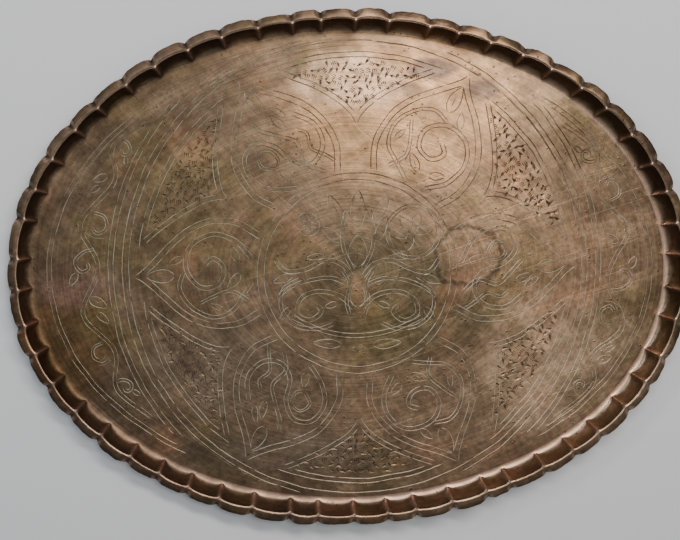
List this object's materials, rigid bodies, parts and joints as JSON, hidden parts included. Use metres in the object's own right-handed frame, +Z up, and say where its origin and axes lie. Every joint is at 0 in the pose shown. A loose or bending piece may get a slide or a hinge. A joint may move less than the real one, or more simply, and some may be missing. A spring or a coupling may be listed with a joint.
{
  "type": "oval copper serving tray",
  "caption": "Oval serving tray raised from copper sheet, with a low crimped and fluted wall, a scalloped lip folded outward over a hidden wire, and a flat engraved floor.",
  "frame": {"origin": "centre of the oval, on the plane the tray rests on", "axes": "+X along the oval's long axis, +Y along its short axis, +Z up out of the tray"},
  "size_m": [0.6, 0.453, 0.023],
  "materials": {
    "copper": null,
    "iron_wire": "dark oxidised iron wire"
  },
  "bodies": {
    "root": {"tray_pan": "copper", "rim_wire": "iron_wire"}
  },
  "joints": []
}
